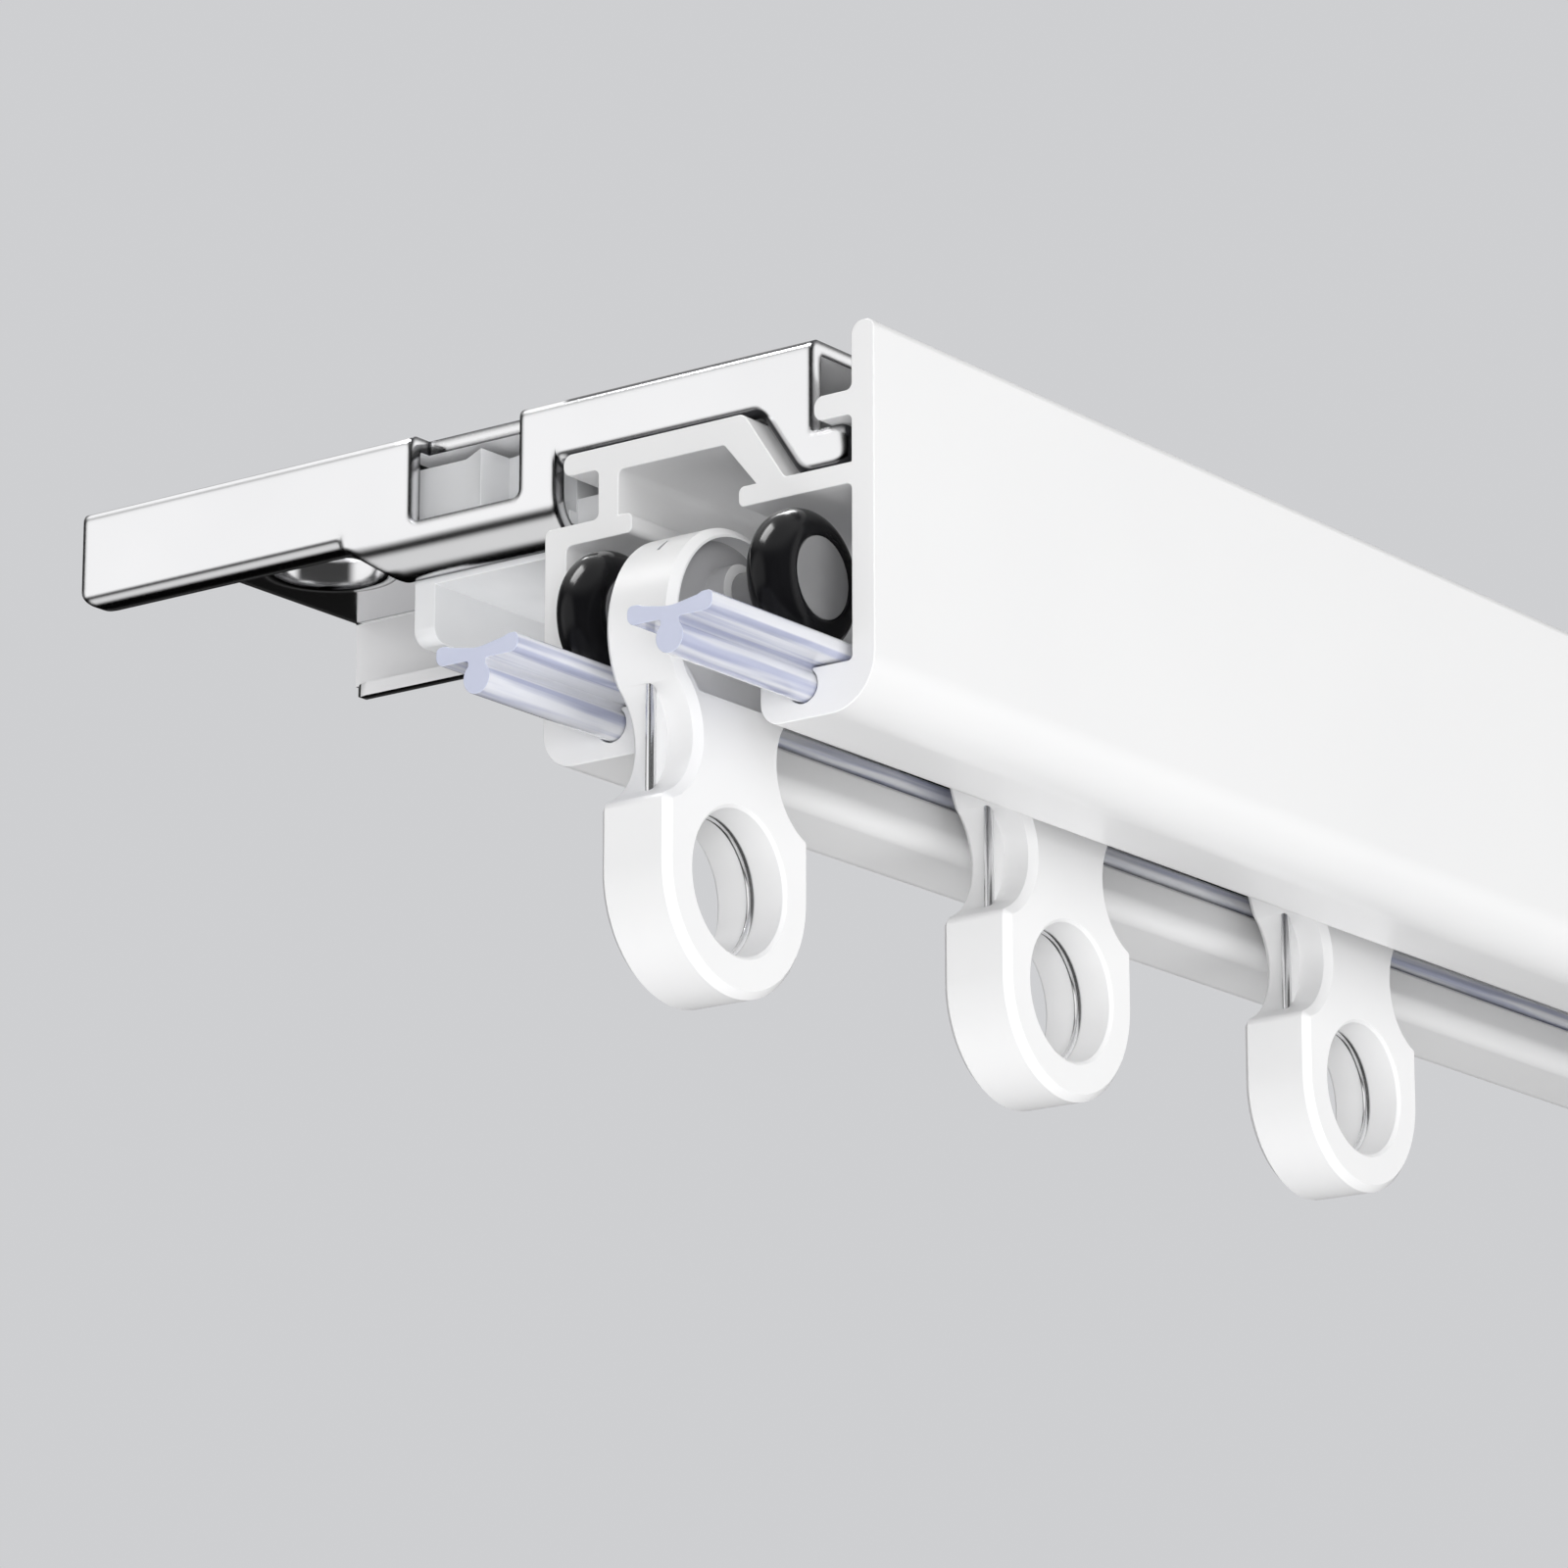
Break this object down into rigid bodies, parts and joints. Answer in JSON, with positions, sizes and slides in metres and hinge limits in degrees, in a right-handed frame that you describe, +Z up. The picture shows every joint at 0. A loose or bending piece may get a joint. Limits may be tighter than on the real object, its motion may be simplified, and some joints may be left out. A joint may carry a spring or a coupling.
{
  "type": "curtain track",
  "caption": "Ceiling curtain track sample: plain fascia profile with silencer strips, wheeled runners with eyes, and a folded ceiling bracket with a catch slide.",
  "frame": {"origin": "axis of the ceiling screw hole, on the ceiling plane", "axes": "+X along the track, away from its cut end; +Y from the fascia towards the bracket's arm; +Z up"},
  "size_m": [0.1674, 0.0619, 0.0388],
  "materials": {
    "white_coat": "smooth white powder coat",
    "clear_strip": "clear bluish soft plastic",
    "bright_sheet": "bright plated steel",
    "milky_plastic": "milky translucent plastic",
    "white_plastic": "satin moulded plastic",
    "steel_wire": "bright drawn wire",
    "black_tyre": "glossy moulded rubber",
    "grey_hub": "plain grey plastic"
  },
  "bodies": {
    "track": {"track_profile": "white_coat", "front_silencer_strip": "clear_strip", "rear_silencer_strip": "clear_strip", "ceiling_bracket": "bright_sheet"},
    "catch": {"catch_slide": "milky_plastic"},
    "runner_1": {"runner_1_body": "white_plastic", "runner_1_wire_link": "steel_wire", "runner_1_eye_ring": "steel_wire", "runner_1_axle_pin": "steel_wire"},
    "runner_1_front_wheel": {"runner_1_front_tyre": "black_tyre", "runner_1_front_hub": "grey_hub"},
    "runner_1_rear_wheel": {"runner_1_rear_tyre": "black_tyre", "runner_1_rear_hub": "grey_hub"},
    "runner_2": {"runner_2_body": "white_plastic", "runner_2_wire_link": "steel_wire", "runner_2_eye_ring": "steel_wire", "runner_2_axle_pin": "steel_wire"},
    "runner_2_front_wheel": {"runner_2_front_tyre": "black_tyre", "runner_2_front_hub": "grey_hub"},
    "runner_2_rear_wheel": {"runner_2_rear_tyre": "black_tyre", "runner_2_rear_hub": "grey_hub"},
    "runner_3": {"runner_3_body": "white_plastic", "runner_3_wire_link": "steel_wire", "runner_3_eye_ring": "steel_wire", "runner_3_axle_pin": "steel_wire"},
    "runner_3_front_wheel": {"runner_3_front_tyre": "black_tyre", "runner_3_front_hub": "grey_hub"},
    "runner_3_rear_wheel": {"runner_3_rear_tyre": "black_tyre", "runner_3_rear_hub": "grey_hub"}
  },
  "joints": [
    {"name": "catch_release", "type": "slide", "parent": "track", "child": "catch", "axis": [0, 1, 0], "range_m": [0, 0.003]},
    {"name": "runner_1_travel", "type": "slide", "parent": "track", "child": "runner_1", "axis": [1, 0, 0], "range_m": [0, 0.0095]},
    {"name": "runner_1_front_wheel_spin", "type": "hinge", "parent": "runner_1", "child": "runner_1_front_wheel", "pos_m": [-0.0147, -0.0413, -0.01505], "axis": [0, 1, 0], "continuous": true},
    {"name": "runner_1_rear_wheel_spin", "type": "hinge", "parent": "runner_1", "child": "runner_1_rear_wheel", "pos_m": [-0.0147, -0.0413, -0.01505], "axis": [0, 1, 0], "continuous": true},
    {"name": "runner_2_travel", "type": "slide", "parent": "track", "child": "runner_2", "axis": [1, 0, 0], "range_m": [-0.0095, 0.0095]},
    {"name": "runner_2_front_wheel_spin", "type": "hinge", "parent": "runner_2", "child": "runner_2_front_wheel", "pos_m": [0.0188, -0.0413, -0.01505], "axis": [0, 1, 0], "continuous": true},
    {"name": "runner_2_rear_wheel_spin", "type": "hinge", "parent": "runner_2", "child": "runner_2_rear_wheel", "pos_m": [0.0188, -0.0413, -0.01505], "axis": [0, 1, 0], "continuous": true},
    {"name": "runner_3_travel", "type": "slide", "parent": "track", "child": "runner_3", "axis": [1, 0, 0], "range_m": [-0.0095, 0.084]},
    {"name": "runner_3_front_wheel_spin", "type": "hinge", "parent": "runner_3", "child": "runner_3_front_wheel", "pos_m": [0.0523, -0.0413, -0.01505], "axis": [0, 1, 0], "continuous": true},
    {"name": "runner_3_rear_wheel_spin", "type": "hinge", "parent": "runner_3", "child": "runner_3_rear_wheel", "pos_m": [0.0523, -0.0413, -0.01505], "axis": [0, 1, 0], "continuous": true}
  ],
  "couplings": [
    {"joint": "runner_1_front_wheel_spin", "follows": "runner_1_travel", "rad_per_m": 232.56},
    {"joint": "runner_1_rear_wheel_spin", "follows": "runner_1_travel", "rad_per_m": 232.56},
    {"joint": "runner_2_front_wheel_spin", "follows": "runner_2_travel", "rad_per_m": 232.56},
    {"joint": "runner_2_rear_wheel_spin", "follows": "runner_2_travel", "rad_per_m": 232.56},
    {"joint": "runner_3_front_wheel_spin", "follows": "runner_3_travel", "rad_per_m": 232.56},
    {"joint": "runner_3_rear_wheel_spin", "follows": "runner_3_travel", "rad_per_m": 232.56}
  ]
}
